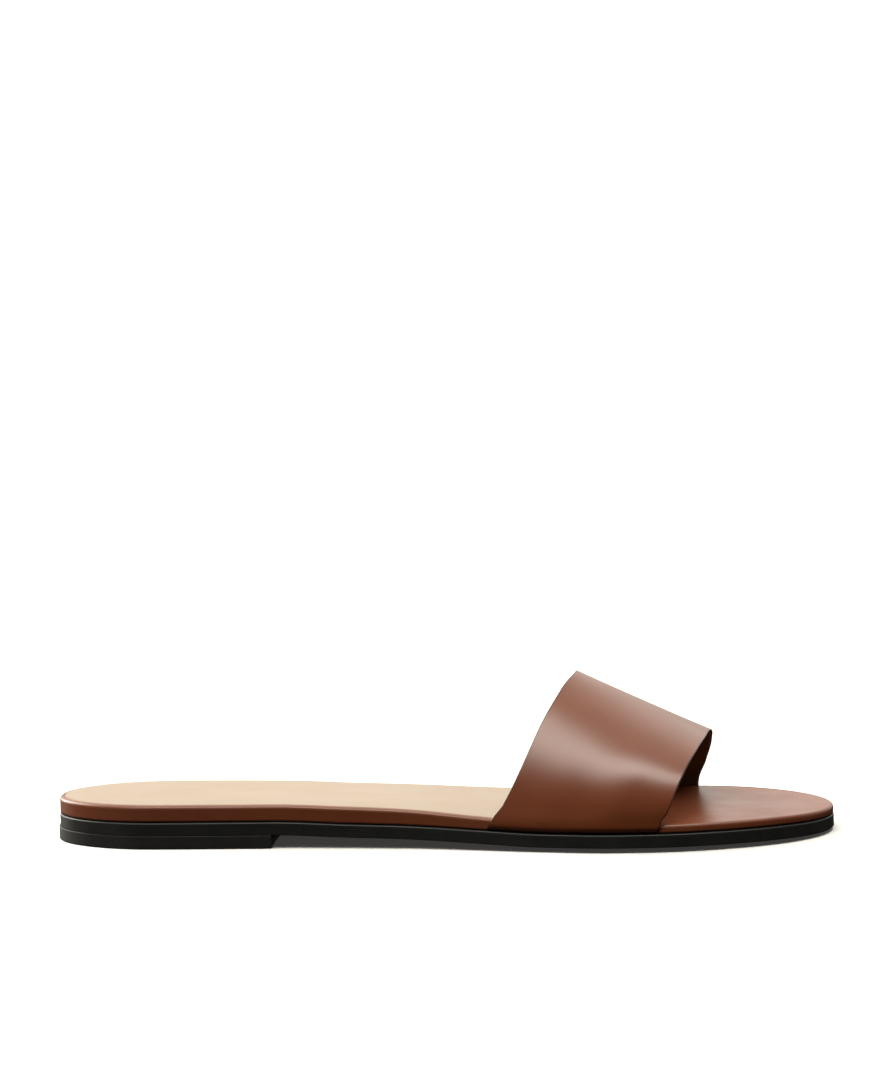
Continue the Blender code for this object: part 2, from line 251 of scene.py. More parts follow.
def mix(low, high, share):
    """Go from low to high by a share."""
    return low + (high - low) * share


def smooth(table, column, at):
    """Read a column between its rows, on a curve that never overshoots them."""
    places = [row["at"] for row in table]
    values = [row[column] for row in table]
    at = min(max(at, places[0]), places[-1])
    slopes = [(values[i + 1] - values[i]) / (places[i + 1] - places[i])
              for i in range(len(table) - 1)]
    tangents = [0.0]
    for before, after in zip(slopes, slopes[1:]):
        meets = before * after > 0.0
        tangents.append(2.0 * before * after / (before + after) if meets else 0.0)
    tangents.append(0.0)
    i = max(k for k in range(len(table) - 1) if places[k] <= at)
    span = places[i + 1] - places[i]
    t = (at - places[i]) / span
    return ((1 + 2 * t) * (1 - t) ** 2 * values[i]
            + t * (1 - t) ** 2 * span * tangents[i]
            + t * t * (3 - 2 * t) * values[i + 1]
            + t * t * (t - 1) * span * tangents[i + 1])


def ease(share):
    """Go from 0 to 1 with a soft start and end."""
    share = min(max(share, 0.0), 1.0)
    return share * share * (3.0 - 2.0 * share)


def share_at(x):
    """Turn a place along X into a share of the sole's length."""
    return x / SHOE_LENGTH + 0.5


def x_at(share):
    """Turn a share of the sole's length into a place along X."""
    return (share - 0.5) * SHOE_LENGTH


def profile(column, x):
    """Read a column of the side view at a place along X."""
    breast = HEEL_LENGTH / SHOE_LENGTH
    past = share_at(x) - breast
    return smooth(PROFILE, column, past / (1.0 - breast) if past > 0.0 else past / breast)


def end_rounding(share):
    """Narrow the width to nothing along a quarter ellipse at each end."""
    from_heel = min(share * SHOE_LENGTH / HEEL_ROUND, 1.0)
    from_toe = min((1.0 - share) * SHOE_LENGTH / TOE_ROUND, 1.0)
    heel = math.sqrt(max(1.0 - (1.0 - from_heel) ** 2, 0.0))
    toe = math.sqrt(max(1.0 - (1.0 - from_toe) ** 2, 0.0))
    return heel * toe


def edge_from_axis(share, side):
    """Distance of the outsole's edge from the heel's long axis, inner side positive."""
    width = (WAIST_WIDTH
             + smooth(PLAN, "heel", share) * (HEEL_WIDTH - WAIST_WIDTH)
             + smooth(PLAN, "ball", share) * (BALL_WIDTH - WAIST_WIDTH))
    middle = smooth(PLAN, "swing", share) * TOE_SWING
    return middle + side * 0.5 * width * end_rounding(share)


def axis_offset():
    """Distance of the heel's long axis from the middle of the sole's widest reach."""
    shares = [i / AXIS_STEPS for i in range(AXIS_STEPS + 1)]
    inner = max(edge_from_axis(share, 1.0) for share in shares)
    outer = min(edge_from_axis(share, -1.0) for share in shares)
    return -0.5 * (inner + outer)


AXIS_Y = axis_offset()


def sole_edge(share, side):
    """Y of the outsole's edge: side is -1 on the outer and 1 on the inner side."""
    return edge_from_axis(share, side) + AXIS_Y


def outsole_low(x, across):
    """Underside of the outsole, flat in the middle and raised towards its edges."""
    rounding = max(abs(across) - CAMBER_FLAT, 0.0) / (1.0 - CAMBER_FLAT)
    return (profile("seat", x) * (HEEL_LIFT + CLEARANCE)
            + profile("spring", x) * TOE_SPRING
            + profile("camber", x) * CAMBER * rounding ** 2)


def outsole_high(x, across):
    """Top of the outsole, level from side to side."""
    return outsole_low(x, 1.0) + OUTSOLE


def footbed_low(x, across):
    """Underside of the footbed."""
    return outsole_high(x, across) + CLEARANCE


def footbed_high(x, across):
    """Top of the footbed."""
    return footbed_low(x, across) + mix(FOOTBED_TOE, FOOTBED_HEEL, profile("bed", x))


def sock_low(x, across):
    """Underside of the sock liner."""
    return footbed_high(x, across) + CLEARANCE


def sock_high(x, across):
    """Top of the sock liner."""
    return sock_low(x, across) + SOCK


def floor_level(x, across):
    """The floor."""
    return 0.0


def lift_high(x, across):
    """Top of the heel lift, pressed close against the outsole."""
    return HEEL_LIFT + CLEARANCE - LIFT_SEAM


def footbed_step(share):
    """How far the footbed's side stands in from the outsole's edge, less at both ends."""
    from_end = min(share / FOOTBED_STEP_RUN, (1.0 - share) / FOOTBED_TOE_RUN)
    return mix(FOOTBED_STEP_AT_ENDS, FOOTBED_STEP, ease(from_end))


def rim_high(x, across):
    """Top of the footbed's rim, raised round the sock liner as far as under the strap."""
    ahead = (share_at(x) - RIM_ENDS_FROM) / (RIM_ENDS_AT - RIM_ENDS_FROM)
    return footbed_high(x, across) + RIM_RAISE * (1.0 - ease(ahead))


def sock_step(share):
    """How far the sock liner's edge stands in from the outsole's edge."""
    return footbed_step(share) + SOCK_INSET


def lift_flare(share):
    """How far the heel lift's side stands in, which is less than nothing at the back."""
    return -LIFT_FLARE * (1.0 - ease(share / LIFT_FLARE_RUN))


def no_step(share):
    """An edge that follows the outsole's."""
    return 0.0


def stations(end):
    """Shares of the length where the plan is measured, closer together at round ends."""
    turn = math.pi if end >= 1.0 else math.pi * 0.5
    top = 2.0 if end >= 1.0 else 1.0
    return [end * (1.0 - math.cos(turn * i / SOLE_STATIONS)) / top
            for i in range(SOLE_STATIONS + 1)]


def rim_point(share, side, inset):
    """A point of the plan's edge, moved inwards at right angles to it."""
    if share <= 0.0 or share >= 1.0:
        inwards = inset if share <= 0.0 else -inset
        return x_at(share) + inwards, sole_edge(share, side)
    before = max(share - SLOPE_STEP, 0.0)
    after = min(share + SLOPE_STEP, 1.0)
    run = (after - before) * SHOE_LENGTH
    rise = sole_edge(after, side) - sole_edge(before, side)
    size = math.hypot(run, rise)
    return (x_at(share) + inset * side * rise / size,
            sole_edge(share, side) - inset * side * run / size)


def plan_rows(end, step, inset):
    """Rows of (x, y, across) over the plan, moved in by a step that varies and an inset.

    across runs from -1 at the outer edge to 1 at the inner edge, and is 1 at a round tip.
    """
    rows = []
    for share in stations(end):
        tip = share <= 0.0 or share >= 1.0
        rims = [rim_point(share, side, step(share) + inset) for side in (-1.0, 1.0)]
        if end < 1.0:
            rims = [(min(x, x_at(end) - step(end) - inset), y) for x, y in rims]
        rows.append([(mix(rims[0][0], rims[1][0], 0.5 + 0.5 * across),
                      mix(rims[0][1], rims[1][1], 0.5 + 0.5 * across),
                      1.0 if tip else across)
                     for across in (-1.0, *ACROSS, 1.0)])
    return rows


def rim_of(grid):
    """What lies round the outside of a grid, in order."""
    outer = [row[0] for row in grid]
    inner = [row[-1] for row in grid]
    return outer + grid[-1][1:-1] + inner[::-1] + grid[0][-2:0:-1]


def turned_edge(radius, height, below, wear_and_painted_light=0.0, support=WALL_SUPPORT):
    """Rings that round the lower or the upper edge of a plate, marked by a share for the edge
    colour, which stands for wear and for painted highlights and painted shade.

    One more ring holds the plate's side flat beside them, unless support is None.
    """
    rings = []
    for i in range(ROUND_STEPS + 1):
        turn = 0.5 * math.pi * i / ROUND_STEPS
        part = 1.0 - math.sin(turn) if below else 1.0 - math.cos(turn)
        rest = 1.0 - math.cos(turn) if below else 1.0 - math.sin(turn)
        rings.append({"inset": radius * part, "height": height,
                      "offset": radius * rest * (1.0 if below else -1.0),
                      "wear_and_painted_light": wear_and_painted_light * (1.0 if 0 < i < ROUND_STEPS else RIM_WEAR_AND_PAINTED_LIGHT)})
    if support is None:
        return rings
    flat = {"inset": 0.0, "height": height, "wear_and_painted_light": 0.0,
            "offset": (radius + support) * (1.0 if below else -1.0)}
    return rings + [flat] if below else [flat] + rings


def plate(name, rings, step, end=1.0, hollow=0.0):
    """A closed piece from rings round the plan, with a grid over its underside and its top.

    hollow bows a straight front end backwards in its middle. The rings' marks set where the
    edge colour shows, which stands for wear and for painted highlights and painted shade.
    """
    mesh = bmesh.new()
    wear_and_painted_light = mesh.verts.layers.float.new("wear_and_painted_light")
    rims = []
    for ring in rings:
        rows = plan_rows(end, step, ring["inset"])
        rows[-1] = [(x - hollow * (1.0 - across ** 2), y, across) for x, y, across in rows[-1]]
        full = ring is rings[0] or ring is rings[-1]
        if full:
            grid = [[mesh.verts.new((x, y, ring["height"](x, across) + ring["offset"]))
                     for x, y, across in row] for row in rows]
            fill_grid(mesh, grid)
            rim = rim_of(grid)
        else:
            rim = [mesh.verts.new((x, y, ring["height"](x, across) + ring["offset"]))
                   for x, y, across in rim_of(rows)]
        for vert in rim:
            vert[wear_and_painted_light] = ring["wear_and_painted_light"]
        rims.append(rim)
    for below, above in zip(rims, rims[1:]):
        for i in range(len(below)):
            mesh.faces.new((below[i - 1], below[i], above[i], above[i - 1]))
    return mesh_object(name, mesh)


def fill_grid(mesh, grid):
    """Faces between the rows of a grid of vertices."""
    for row, following in zip(grid, grid[1:]):
        for i in range(len(row) - 1):
            mesh.faces.new((row[i], following[i], following[i + 1], row[i + 1]))


def mesh_object(name, mesh):
    """Weld a mesh, turn its faces outwards and put an object of it in the scene."""
    bmesh.ops.remove_doubles(mesh, verts=mesh.verts[:], dist=WELD)
    bmesh.ops.dissolve_degenerate(mesh, edges=mesh.edges[:], dist=WELD)
    bmesh.ops.recalc_face_normals(mesh, faces=mesh.faces[:])
    data = bpy.data.meshes.new(name)
    mesh.to_mesh(data)
    mesh.free()
    data.shade_smooth()
    data.set_sharp_from_angle(angle=SHARP_ANGLE)
    piece = bpy.data.objects.new(name, data)
    bpy.context.scene.collection.objects.link(piece)
    return piece


def strap_foot(x, side, grow):
    """A foot of the strap from the end of its flange up to where the arch starts at x.

    It leans forward by STRAP_FOOT_LEAN as it rises through its bend.
    """
    bend = STRAP_WALL + STRAP_BEND_INSIDE + grow
    path = [(mix(FLANGE + 2.0 * grow, bend, i / FLANGE_STEPS), 0.0, 1.0)
            for i in range(FLANGE_STEPS)]
    for i in range(BEND_STEPS + 1):
        turn = 0.5 * math.pi * i / BEND_STEPS
        path.append((bend * (1.0 - math.sin(turn)), bend * (1.0 - math.cos(turn)),
                     math.cos(turn)))
    points = []
    for inset, rise, lean in path:
        place = x - lean * STRAP_FOOT_LEAN
        edge = sole_edge(share_at(place), side) - side * (STRAP_STEP - grow)
        level = outsole_high(place, side) + CLEARANCE - grow
        points.append(Vector((place, edge - side * inset, level + rise)))
    return points


def strap_edge(name, at, grow):
    """Place along X of one cut edge of the strap, moved outwards by grow."""
    return x_at(smooth(STRAP_EDGES, name, at)) + (grow if name == "front" else -grow)


def strap_row(band, grow):
    """One row over the strap's outer face, from flange to flange, band going back to front."""
    reach = [mix(strap_edge("back", i / ARCH_STEPS, grow),
                 strap_edge("front", i / ARCH_STEPS, grow), band)
             for i in range(ARCH_STEPS + 1)]
    outer = strap_foot(reach[0], -1.0, grow)
    inner = strap_foot(reach[-1], 1.0, grow)
    top_y = AXIS_Y + CREST_SHIFT
    top_z = (outsole_high(reach[ARCH_STEPS // 2], 0.0) + CLEARANCE
             + mix(STRAP_RISE, STRAP_FRONT_RISE, band) + grow)
    power = mix(ARCH_POWER, ARCH_FRONT_POWER, band)
    arch = []
    for i in range(1, ARCH_STEPS):
        turn = math.pi * i / ARCH_STEPS
        base = outer[-1] if math.cos(turn) > 0.0 else inner[-1]
        climb = math.sin(turn) ** power
        spread = abs(math.cos(turn)) ** power
        arch.append(Vector((reach[i], mix(top_y, base[1], spread), mix(base[2], top_z, climb))))
    return outer + arch + inner[::-1]


def bands():
    """Places of the strap's rows from its back edge to its front edge."""
    inside = [mix(EDGE_STEP, 1.0 - EDGE_STEP, i / BAND_STEPS) for i in range(BAND_STEPS + 1)]
    return [0.0, *inside, 1.0]


def strap_normals(rows):
    """The outward direction at every point of the strap's rows."""
    normals = []
    for i, row in enumerate(rows):
        back = rows[max(i - 1, 0)]
        front = rows[min(i + 1, len(rows) - 1)]
        line = []
        for j in range(len(row)):
            along = row[min(j + 1, len(row) - 1)] - row[max(j - 1, 0)]
            line.append((front[j] - back[j]).cross(along).normalized())
        normals.append(line)
    return normals


def flange_share(j, count):
    """How thick the strap is at a point of a row: skived on the flanges, whole above them."""
    from_end = min(j, count - 1 - j)
    full = min(max((from_end - FLANGE_STEPS) / BEND_STEPS, 0.0), 1.0)
    return mix(FLANGE_SKIVE, 1.0, full)


def edge_path(thickness, radius):
    """Rounded cut edge of a sheet: (set in, depth, mark for the edge colour of wear and painted
    light) from its outer to its inner face.
    """
    path = []
    for i in range(ROUND_STEPS + 1):
        turn = 0.5 * math.pi * i / ROUND_STEPS
        path.append((radius * (1.0 - math.sin(turn)), radius * (1.0 - math.cos(turn)), 1.0))
    return path + [(inset, thickness - depth, wear_and_painted_light) for inset, depth, wear_and_painted_light in path[::-1]]


def strap_layer(name, depth, thickness, radius, set_back=0.0, grow=0.0, wave=0.0):
    """One layer of the strap as a closed band, its outer face lying depth below the strap's.

    set_back moves both cut edges in, and wave is the height of the leather's slow waves.
    """
    rows = [strap_row(band, grow) for band in bands()]
    normals = strap_normals(rows)
    count = len(rows[0])
    mesh = bmesh.new()
    wear_and_painted_light = mesh.verts.layers.float.new("wear_and_painted_light")
    rounding = edge_path(thickness, radius)
    rings = []
    for j in range(count):
        share = flange_share(j, count)

        def point(i, below, outwards=None, out=0.0, mark=0.0):
            place = rows[i][j] - normals[i][j] * (depth + below) * share
            if wave and below == 0.0:
                place += normals[i][j] * wave * noise.noise(rows[i][j] / LEATHER_WAVE_LENGTH)
            if outwards is not None:
                place += outwards * out
            vert = mesh.verts.new(place)
            vert[wear_and_painted_light] = mark
            return vert

        to_back = (rows[0][j] - rows[1][j]).normalized()
        to_front = (rows[-1][j] - rows[-2][j]).normalized()
        outer = [point(i, 0.0) for i in range(1, len(rows) - 1)]
        front = [point(len(rows) - 1, below, to_front, -inset - set_back, mark)
                 for inset, below, mark in rounding]
        inner = [point(i, thickness) for i in range(len(rows) - 2, 0, -1)]
        back = [point(0, below, to_back, -inset - set_back, mark)
                for inset, below, mark in rounding[::-1]]
        rings.append(outer + front + inner + back)
    for ring, following in zip(rings, rings[1:]):
        for i in range(len(ring)):
            mesh.faces.new((ring[i - 1], ring[i], following[i], following[i - 1]))
    mesh.faces.new(rings[0])
    mesh.faces.new(rings[-1][::-1])
    return mesh_object(name, mesh)


def cut_for_strap(piece, room):
    """Take the room that the strap needs out of a piece, and keep the result as its mesh."""
    cut = piece.modifiers.new("Room for the strap", "BOOLEAN")
    cut.operation = "DIFFERENCE"
    cut.solver = "EXACT"
    cut.object = room
    graph = bpy.context.evaluated_depsgraph_get()
    made = bpy.data.meshes.new_from_object(piece.evaluated_get(graph))
    piece.modifiers.clear()
    piece.data = made
    made.shade_smooth()
    made.set_sharp_from_angle(angle=SHARP_ANGLE)
    return piece


def make_outsole():
    """The black outsole, one plate under the whole shoe with a soft top edge."""
    rings = (turned_edge(OUTSOLE_ROUND, outsole_low, True)
             + turned_edge(OUTSOLE_BEVEL, outsole_high, False, 1.0))
    return plate("outsole_edge_and_sole", rings, no_step)


def make_heel_lift():
    """The low heel under the outsole, spread a little at the back of the heel."""
    rings = (turned_edge(LIFT_ROUND, floor_level, True)
             + turned_edge(LIFT_TOP_ROUND, lift_high, False))
    return plate("heel_lift_block", rings, lift_flare, HEEL_LENGTH / SHOE_LENGTH, BREAST_HOLLOW)


def make_footbed(room):
    """The footbed in its leather wrap, with a soft upper edge and a seat for the liner."""
    rings = (turned_edge(FOOTBED_UNDER_ROUND, footbed_low, True)
             + turned_edge(FOOTBED_ROUND, rim_high, False, 1.0))
    seam = SOCK_INSET - RIM_SEAM
    rings.append({"inset": seam - RIM_SEAM, "height": rim_high, "offset": 0.0,
                  "wear_and_painted_light": RIM_WEAR_AND_PAINTED_LIGHT})
    rings.append({"inset": seam, "height": rim_high, "offset": -RIM_SEAM, "wear_and_painted_light": 0.0})
    rings.append({"inset": seam, "height": footbed_high, "offset": -RIM_SEAM, "wear_and_painted_light": 0.0})
    return cut_for_strap(plate("footbed_leather_wrap", rings, footbed_step), room)


def make_sock_liner(room):
    """The thin liner, settled a little towards its edge."""
    rings = (turned_edge(SOCK_ROUND, sock_low, True, support=None)
             + turned_edge(SOCK_ROUND, sock_high, False, 1.0, support=None))
    for ring in rings:
        below = ring["height"] is sock_low
        ring["offset"] -= SOCK_SETTLE * (SOCK_SETTLE_BELOW if below else 1.0)
    for i in range(1, SETTLE_STEPS + 1):
        share = i / SETTLE_STEPS
        rings.append({"inset": SOCK_ROUND + share * SOCK_SETTLE_WIDTH, "height": sock_high,
                      "offset": -SOCK_SETTLE * (1.0 - share) ** 2, "wear_and_painted_light": 0.0})
    liner = plate("sock_liner_leather", rings, sock_step, SOCK_LENGTH / SHOE_LENGTH)
    return cut_for_strap(liner, room)


def make_room():
    """The room that the strap needs, used only to cut the pieces beside it."""
    return strap_layer("strap_room", 0.0, STRAP_WALL + 2.0 * CLEARANCE, EDGE_ROUND,
                       grow=CLEARANCE)


def make_strap_leather():
    """The strap's face leather."""
    return strap_layer("strap_face_leather", 0.0, LEATHER, EDGE_ROUND, wave=LEATHER_WAVE)


def make_strap_lining():
    """The strap's lining, its edges a little behind the face leather's."""
    depth = LEATHER + LAYER_GAP
    return strap_layer("strap_lining_leather", depth, STRAP_WALL - depth, EDGE_ROUND,
                       set_back=LINING_SET_BACK)


class Nodes:
    """A node tree that is filled by short calls."""

    def __init__(self, tree):
        self.tree = tree

    def add(self, kind, links=None, **values):
        """Add a node, set its values and link its inputs by name or number."""
        node = self.tree.nodes.new(kind)
        for name, value in values.items():
            setattr(node, name, value)
        for key, source in (links or {}).items():
            socket = node.inputs[key]
            if isinstance(source, bpy.types.NodeSocket):
                self.tree.links.new(source, socket)
            else:
                socket.default_value = source
        return node

    def link(self, source, target):
        """Link one socket to another."""
        self.tree.links.new(source, target)


def group_tree(name, inputs, outputs):
    """A shader node group with named sockets, and its input and output nodes."""
    tree = bpy.data.node_groups.new(name, "ShaderNodeTree")
    for label, kind, value in inputs:
        socket = tree.interface.new_socket(label, in_out="INPUT", socket_type=kind)
        socket.default_value = value
    for label, kind in outputs:
        tree.interface.new_socket(label, in_out="OUTPUT", socket_type=kind)
    nodes = Nodes(tree)
    return nodes, nodes.add("NodeGroupInput"), nodes.add("NodeGroupOutput")


def leather_grain():
    """Pores and soft pebbles of smooth leather, as a height and a tone."""
    nodes, given, made = group_tree(
        "Leather grain",
        (("Pebbles per metre", "NodeSocketFloat", 1500.0),
         ("Pore strength", "NodeSocketFloat", 0.5),
         ("Slow waves", "NodeSocketFloat", 0.5)),
        (("Height", "NodeSocketFloat"), ("Tone", "NodeSocketFloat")))
    place = nodes.add("ShaderNodeTexCoord").outputs["Object"]
    scale = given.outputs["Pebbles per metre"]
    pebbles = nodes.add("ShaderNodeTexVoronoi", {"Vector": place, "Scale": scale,
                                                 "Randomness": 1.0},
                        feature="SMOOTH_F1")
    fine = nodes.add("ShaderNodeMath", {0: scale, 1: PORES_PER_PEBBLE}, operation="MULTIPLY")
    pores = nodes.add("ShaderNodeTexNoise", {"Vector": place, "Scale": fine.outputs[0],
                                             "Detail": 3.0, "Roughness": 0.6})
    broad = nodes.add("ShaderNodeMath", {0: scale, 1: WAVES_PER_PEBBLE}, operation="MULTIPLY")
    waves = nodes.add("ShaderNodeTexNoise", {"Vector": place, "Scale": broad.outputs[0],
                                             "Detail": 2.0, "Roughness": 0.5})
    pore_height = nodes.add("ShaderNodeMath", {0: pores.outputs["Fac"],
                                               1: given.outputs["Pore strength"]},
                            operation="MULTIPLY")
    wave_height = nodes.add("ShaderNodeMath", {0: waves.outputs["Fac"],
                                               1: given.outputs["Slow waves"]},
                            operation="MULTIPLY")
    both = nodes.add("ShaderNodeMath", {0: pore_height.outputs[0],
                                        1: pebbles.outputs["Distance"]},
                     operation="SUBTRACT")
    height = nodes.add("ShaderNodeMath", {0: both.outputs[0], 1: wave_height.outputs[0]},
                       operation="ADD")
    nodes.link(height.outputs[0], made.inputs["Height"])
    nodes.link(waves.outputs["Fac"], made.inputs["Tone"])
    return nodes.tree


def uneven_dye():
    """Two tones of one dye in slow clouds."""
    nodes, given, made = group_tree(
        "Uneven dye",
        (("Light tone", "NodeSocketColor", (0.5, 0.5, 0.5, 1.0)),
         ("Deep tone", "NodeSocketColor", (0.4, 0.4, 0.4, 1.0)),
         ("Clouds per metre", "NodeSocketFloat", 30.0)),
        (("Color", "NodeSocketColor"),))
    place = nodes.add("ShaderNodeTexCoord").outputs["Object"]
    clouds = nodes.add("ShaderNodeTexNoise", {"Vector": place,
                                              "Scale": given.outputs["Clouds per metre"],
                                              "Detail": 5.0, "Roughness": 0.6})
    spread = nodes.add("ShaderNodeMapRange", {"Value": clouds.outputs["Fac"],
                                              "From Min": CLOUD_RANGE[0],
                                              "From Max": CLOUD_RANGE[1]},
                       interpolation_type="SMOOTHSTEP")
    tone = nodes.add("ShaderNodeMix", {"Factor": spread.outputs["Result"],
                                       "A": given.outputs["Light tone"],
                                       "B": given.outputs["Deep tone"]},
                     data_type="RGBA")
    nodes.link(tone.outputs["Result"], made.inputs["Color"])
    return nodes.tree


def wear_and_painted_light_mask():
    """Mask of the marked edges where the edge colour shows, which stands for wear and for
    painted highlights and painted shade, broken up by noise.
    """
    nodes, given, made = group_tree(
        "Wear and painted light on edges",
        (("Amount", "NodeSocketFloat", 0.5),
         ("Breaks per metre", "NodeSocketFloat", 400.0)),
        (("Mask", "NodeSocketFloat"),))
    place = nodes.add("ShaderNodeTexCoord").outputs["Object"]
    wear_and_painted_light = nodes.add("ShaderNodeAttribute", attribute_name="wear_and_painted_light")
    breaks = nodes.add("ShaderNodeTexNoise", {"Vector": place,
                                              "Scale": given.outputs["Breaks per metre"],
                                              "Detail": 3.0})
    uneven = nodes.add("ShaderNodeMapRange", {"Value": breaks.outputs["Fac"],
                                              "From Min": BREAK_RANGE[0],
                                              "From Max": BREAK_RANGE[1],
                                              "To Min": LEAST_WEAR_AND_PAINTED_LIGHT, "To Max": 1.0})
    mask = nodes.add("ShaderNodeMath", {0: wear_and_painted_light.outputs["Fac"], 1: uneven.outputs["Result"]},
                     operation="MULTIPLY")
    amount = nodes.add("ShaderNodeMath", {0: mask.outputs[0], 1: given.outputs["Amount"]},
                       operation="MULTIPLY", use_clamp=True)
    nodes.link(amount.outputs[0], made.inputs["Mask"])
    return nodes.tree


# Finishes. Colours are linear: the dye's light and deep tones, and the edge colour, which
# shows on the marked edges by the share that follows it. The edge colours stand for wear and
# for painted highlights and painted shade along edges; the heel lift has no marked edges.
# clouds is in clouds per metre, grain in pebbles per metre and relief in metres. waves is how
# high the slow waves are beside a pebble, and rough_spread how far the roughness varies.
FINISHES = {
    "brown_strap_leather": {
        "light": (0.196, 0.049, 0.0155), "deep": (0.180, 0.043, 0.0135),
        # The near-black edge colour is edge ink and painted shade along the strap's cut edges
        "edge": (0.015, 0.006, 0.004), "wear_and_painted_light_share": 0.9, "clouds": 60.0,
        "rough": 0.30, "rough_spread": 0.04, "grain": 1100.0, "relief": 0.000006,
        "waves": 0.0, "specular": 0.65},
    "brown_lining_leather": {
        "light": (0.110, 0.045, 0.014), "deep": (0.090, 0.036, 0.011),
        # Lighter along the lining's cut edges
        "edge": (0.180, 0.120, 0.090), "wear_and_painted_light_share": 0.8, "clouds": 80.0,
        "rough": 0.60, "rough_spread": 0.10, "grain": 1300.0, "relief": 0.00002,
        "waves": 1.0, "specular": 0.4},
    "brown_wrap_leather": {
        "light": (0.200, 0.053, 0.021), "deep": (0.183, 0.046, 0.017),
        # The edge colour is a painted highlight along the rounded rim and its seam
        "edge": (0.180, 0.070, 0.040), "wear_and_painted_light_share": 0.3, "clouds": 60.0,
        "rough": 0.34, "rough_spread": 0.10, "grain": 1100.0, "relief": 0.000008,
        "waves": 3.0, "specular": 0.55},
    "beige_sock_leather": {
        "light": (0.412, 0.325, 0.255), "deep": (0.392, 0.308, 0.237),
        # The darker brown edge is the dyed cut edge and painted shade where the liner meets the
        # rim
        "edge": (0.260, 0.140, 0.090), "wear_and_painted_light_share": 1.0, "clouds": 30.0,
        "rough": 0.55, "rough_spread": 0.10, "grain": 1100.0, "relief": 0.000012,
        "waves": 1.0, "specular": 0.35},
    "black_sole_leather": {
        "light": (0.020, 0.020, 0.019), "deep": (0.014, 0.014, 0.014),
        # The lighter grey is a painted highlight on the outsole's top bevel
        "edge": (0.030, 0.030, 0.028), "wear_and_painted_light_share": 0.2, "clouds": 120.0,
        "rough": 0.42, "rough_spread": 0.12, "grain": 1600.0, "relief": 0.00001,
        "waves": 1.0, "specular": 0.4},
    "black_heel_rubber": {
        "light": (0.021, 0.021, 0.020), "deep": (0.015, 0.015, 0.015),
        "edge": (0.030, 0.030, 0.028), "wear_and_painted_light_share": 0.2, "clouds": 120.0,
        "rough": 0.50, "rough_spread": 0.12, "grain": 1600.0, "relief": 0.00001,
        "waves": 1.0, "specular": 0.4},
}


def finish(name, groups):
    """The material of one finish, from its row and the shared groups."""
    row = FINISHES[name]
    material = bpy.data.materials.new(name)
    material.use_nodes = True
    nodes = Nodes(material.node_tree)
    shader = material.node_tree.nodes["Principled BSDF"]
    shader.inputs["Specular IOR Level"].default_value = row["specular"]
    dye = nodes.add("ShaderNodeGroup", node_tree=groups["dye"])
    dye.inputs["Light tone"].default_value = (*row["light"], 1.0)
    dye.inputs["Deep tone"].default_value = (*row["deep"], 1.0)
    dye.inputs["Clouds per metre"].default_value = row["clouds"]
    # The edge colour on the marked edges stands for wear and for painted highlights and painted
    # shade
    edge = nodes.add("ShaderNodeGroup", node_tree=groups["edge"])
    edge.inputs["Amount"].default_value = row["wear_and_painted_light_share"]
    grain = nodes.add("ShaderNodeGroup", node_tree=groups["grain"])
    grain.inputs["Pebbles per metre"].default_value = row["grain"]
    grain.inputs["Slow waves"].default_value = row["waves"]
    colour = nodes.add("ShaderNodeMix", {"Factor": edge.outputs["Mask"],
                                         "A": dye.outputs["Color"],
                                         "B": (*row["edge"], 1.0)},
                       data_type="RGBA")
    half_spread = 0.5 * row["rough_spread"]
    rough = nodes.add("ShaderNodeMapRange", {"Value": grain.outputs["Tone"],
                                             "From Min": TONE_RANGE[0],
                                             "From Max": TONE_RANGE[1],
                                             "To Min": row["rough"] - half_spread,
                                             "To Max": row["rough"] + half_spread})
    bump = nodes.add("ShaderNodeBump", {"Height": grain.outputs["Height"],
                                        "Distance": row["relief"], "Strength": 1.0})
    nodes.link(colour.outputs["Result"], shader.inputs["Base Color"])
    nodes.link(rough.outputs["Result"], shader.inputs["Roughness"])
    nodes.link(bump.outputs["Normal"], shader.inputs["Normal"])
    return material


def floor_material():
    """Matt white studio floor, with a faint glow of its own in the shadows."""
    material = bpy.data.materials.new("white_studio_floor")
    material.use_nodes = True
    shader = material.node_tree.nodes["Principled BSDF"]
    shader.inputs["Base Color"].default_value = FLOOR_COLOUR
    shader.inputs["Roughness"].default_value = 0.9
    shader.inputs["Specular IOR Level"].default_value = 0.0
    shader.inputs["Emission Color"].default_value = FLOOR_GLOW_COLOUR
    shader.inputs["Emission Strength"].default_value = FLOOR_GLOW
    return material


def make_floor():
    """A wide plain floor, which takes shadows and sends no light back to the sandal."""
    mesh = bmesh.new()
    half = FLOOR_HALF
    mesh.faces.new([mesh.verts.new((x, y, 0.0)) for x, y in
                    ((-half, -half), (half, -half), (half, half), (-half, half))])
    data = bpy.data.meshes.new("studio_floor")
    mesh.to_mesh(data)
    mesh.free()
    floor = bpy.data.objects.new("studio_floor", data)
    bpy.context.scene.collection.objects.link(floor)
    floor.data.materials.append(floor_material())
    floor.visible_glossy = False
    floor.visible_diffuse = False


